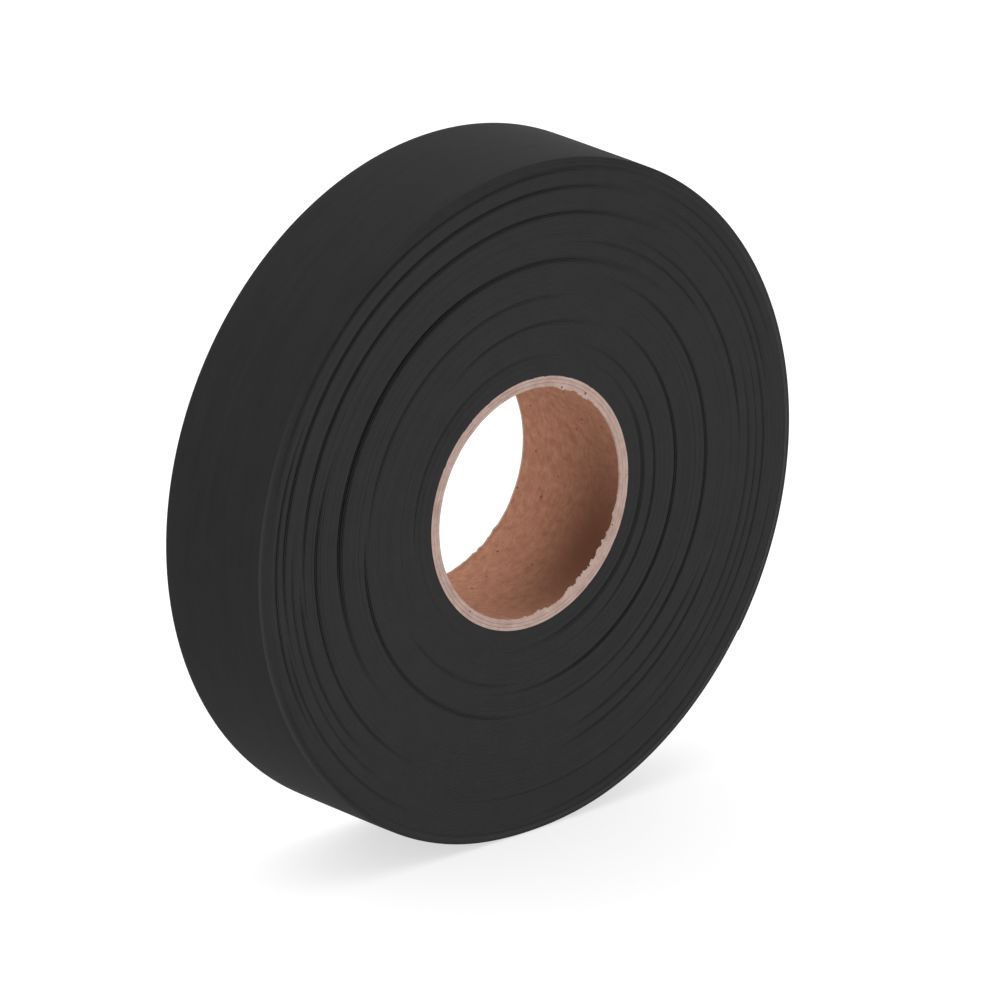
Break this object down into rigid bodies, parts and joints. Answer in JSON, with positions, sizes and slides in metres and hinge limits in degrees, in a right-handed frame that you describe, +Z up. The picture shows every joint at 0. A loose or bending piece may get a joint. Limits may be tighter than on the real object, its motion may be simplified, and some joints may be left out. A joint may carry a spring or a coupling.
{
  "type": "electrical tape roll",
  "caption": "Roll of black vinyl insulating tape wound on a kraft board core, standing on its edge, with a free end that peels off.",
  "frame": {"origin": "on the surface the roll stands on, under the middle of the roll", "axes": "+Z up, Y along the roll's axis, front face towards -Y, free end of the tape on the +X side"},
  "size_m": [0.0919, 0.019, 0.0915],
  "materials": {
    "tape_film": "satin black plasticised vinyl film, matt where the cut edges face out",
    "core_kraft": "bare brown kraft paper, spiral wound",
    "core_board": "pale recycled board, cut edge fuzzy"
  },
  "bodies": {
    "roll": {"core_inner_ply": "core_kraft", "core_middle_ply": "core_board", "core_outer_ply": "core_board", "wound_turns_1_on_core": "tape_film", "wound_turns_2": "tape_film", "wound_turns_3": "tape_film", "wound_turns_4": "tape_film", "wound_turns_5": "tape_film", "wound_turns_6": "tape_film", "wound_turns_7": "tape_film", "wound_turns_8_outer": "tape_film", "outer_turn": "tape_film"},
    "free_end_1_length": {"free_end_1": "tape_film"},
    "free_end_2_length": {"free_end_2": "tape_film"},
    "free_end_3_length": {"free_end_3": "tape_film"},
    "free_end_4_length": {"free_end_4": "tape_film"}
  },
  "joints": [
    {"name": "free_end_lift", "type": "hinge", "parent": "roll", "child": "free_end_1_length", "pos_m": [0.04591, 0, 0.04555], "axis": [0, -1, 0], "range_deg": [0, 30]},
    {"name": "free_end_curl_2", "type": "hinge", "parent": "free_end_1_length", "child": "free_end_2_length", "pos_m": [0.04534, 0, 0.03837], "axis": [0, -1, 0], "range_deg": [0, 30]},
    {"name": "free_end_curl_3", "type": "hinge", "parent": "free_end_2_length", "child": "free_end_3_length", "pos_m": [0.04366, 0, 0.03136], "axis": [0, -1, 0], "range_deg": [0, 30]},
    {"name": "free_end_curl_4", "type": "hinge", "parent": "free_end_3_length", "child": "free_end_4_length", "pos_m": [0.04091, 0, 0.02471], "axis": [0, -1, 0], "range_deg": [0, 30]}
  ],
  "couplings": [
    {"joint": "free_end_curl_2", "follows": "free_end_lift", "ratio": 1},
    {"joint": "free_end_curl_3", "follows": "free_end_lift", "ratio": 1},
    {"joint": "free_end_curl_4", "follows": "free_end_lift", "ratio": 1}
  ]
}
